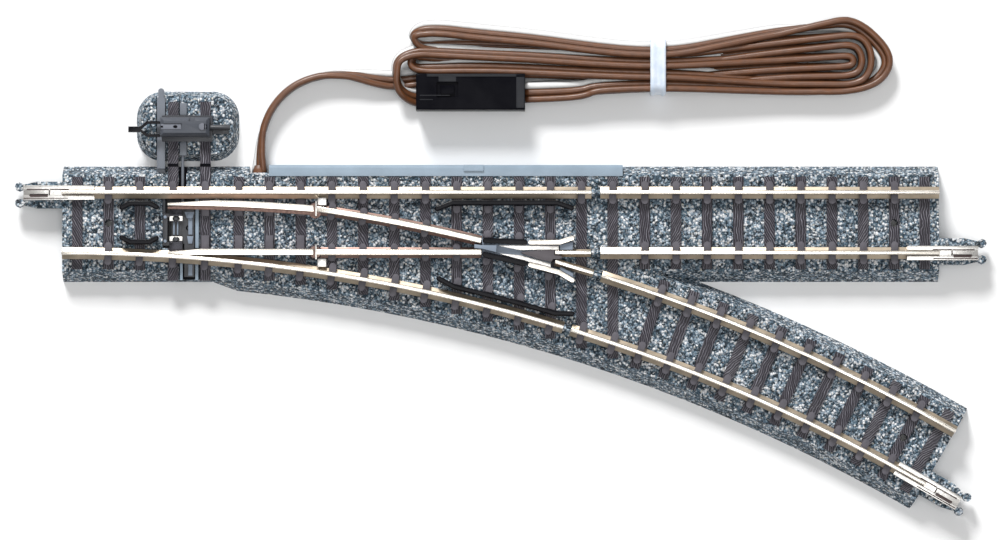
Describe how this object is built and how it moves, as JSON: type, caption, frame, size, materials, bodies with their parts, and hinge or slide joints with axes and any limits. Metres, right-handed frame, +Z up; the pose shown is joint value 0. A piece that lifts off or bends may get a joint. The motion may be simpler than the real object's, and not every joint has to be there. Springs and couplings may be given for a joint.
{
  "type": "model turnout switch",
  "caption": "N gauge right-hand electric model railway turnout on ballasted roadbed, with moving switch blades, point machine, built-in solenoid drive and a coiled lead with connector",
  "frame": {"origin": "on the surface it stands on, at the toe end of the straight route's centreline", "axes": "+X along the straight route, +Y away from the diverging route, +Z up"},
  "size_m": [0.1552, 0.0791, 0.0067],
  "materials": {
    "ballast_plastic": "speckled matte",
    "sleeper_plastic": "satin wood grain",
    "nickel_silver": "polished",
    "black_plastic": "gloss",
    "grey_plastic": "satin",
    "dark_grey_plastic": "satin",
    "brown_plastic": "satin",
    "phosphor_bronze": "satin",
    "steel": "zinc plated",
    "copper_wire": "enamelled",
    "board": "laminate",
    "cord_brown": "satin PVC",
    "tie_plastic": "translucent"
  },
  "bodies": {
    "track": {"roadbed": "ballast_plastic", "sleepers_switch": "sleeper_plastic", "sleepers_straight": "sleeper_plastic", "sleepers_diverging": "sleeper_plastic", "stock_rail_straight": "nickel_silver", "stock_rail_curved": "nickel_silver", "exit_rail_straight_back": "nickel_silver", "exit_rail_straight_front": "nickel_silver", "exit_rail_diverging_outer": "nickel_silver", "exit_rail_diverging_inner": "nickel_silver", "closure_rail_straight": "nickel_silver", "closure_rail_curved": "nickel_silver", "rail_gap_blocks": "grey_plastic", "frog_base": "grey_plastic", "frog_nose": "brown_plastic", "frog_rail_straight": "nickel_silver", "frog_rail_diverging": "nickel_silver", "wing_insulators": "black_plastic", "wing_rail_straight": "nickel_silver", "wing_rail_diverging": "nickel_silver", "frog_contact_strips": "nickel_silver", "guard_rails_toe": "black_plastic", "guard_rail_back": "black_plastic", "guard_rail_front": "black_plastic", "heel_pins": "steel", "heel_clips": "nickel_silver", "heel_contacts": "nickel_silver", "crank_pivot": "steel", "coil_bobbins": "dark_grey_plastic", "coil_windings": "copper_wire", "drive_case": "grey_plastic", "circuit_board": "board", "board_parts": "dark_grey_plastic", "detent_spring": "phosphor_bronze", "base_cover": "dark_grey_plastic", "cover_screws": "steel", "joiner_toe": "nickel_silver", "joiner_straight": "nickel_silver", "joiner_diverging": "nickel_silver", "island_base": "ballast_plastic", "machine_base": "dark_grey_plastic", "machine_cover": "dark_grey_plastic", "machine_fork": "black_plastic", "machine_shaft": "dark_grey_plastic", "cord_clamp": "black_plastic", "cord_lead": "cord_brown", "cord_hank": "cord_brown", "cord_tie": "tie_plastic", "connector_housing": "black_plastic", "connector_contacts": "phosphor_bronze"},
    "throw": {"throw_bar": "grey_plastic", "manual_lever": "grey_plastic", "machine_rod": "grey_plastic"},
    "curved_blade": {"blade_curved": "nickel_silver", "blade_tab_curved": "nickel_silver"},
    "straight_blade": {"blade_straight": "nickel_silver", "blade_tab_straight": "nickel_silver"},
    "crank": {"bell_crank": "dark_grey_plastic"},
    "core": {"plunger": "steel", "link_strip": "steel"}
  },
  "joints": [
    {"name": "core_slide", "type": "slide", "parent": "track", "child": "core", "axis": [1, 0, 0], "range_m": [0, 0.0012]},
    {"name": "throw_slide", "type": "slide", "parent": "track", "child": "throw", "axis": [0, 1, 0], "range_m": [0, 0.0013]},
    {"name": "crank_pivot_joint", "type": "hinge", "parent": "track", "child": "crank", "pos_m": [0.0257, -0.0008, 0.0012], "axis": [0, 0, -1], "range_deg": [0, 13.89]},
    {"name": "curved_blade_heel", "type": "hinge", "parent": "track", "child": "curved_blade", "pos_m": [0.0404, 0.0022, 0.0045], "axis": [0, 0, -1], "range_deg": [0, 3.36]},
    {"name": "straight_blade_heel", "type": "hinge", "parent": "track", "child": "straight_blade", "pos_m": [0.0404, -0.0047, 0.0045], "axis": [0, 0, -1], "range_deg": [0, 3.36]}
  ],
  "couplings": [
    {"joint": "throw_slide", "follows": "core_slide", "ratio": 1.0833},
    {"joint": "crank_pivot_joint", "follows": "core_slide", "rad_per_m": 201.97},
    {"joint": "curved_blade_heel", "follows": "core_slide", "rad_per_m": 48.825},
    {"joint": "straight_blade_heel", "follows": "core_slide", "rad_per_m": 48.825}
  ]
}
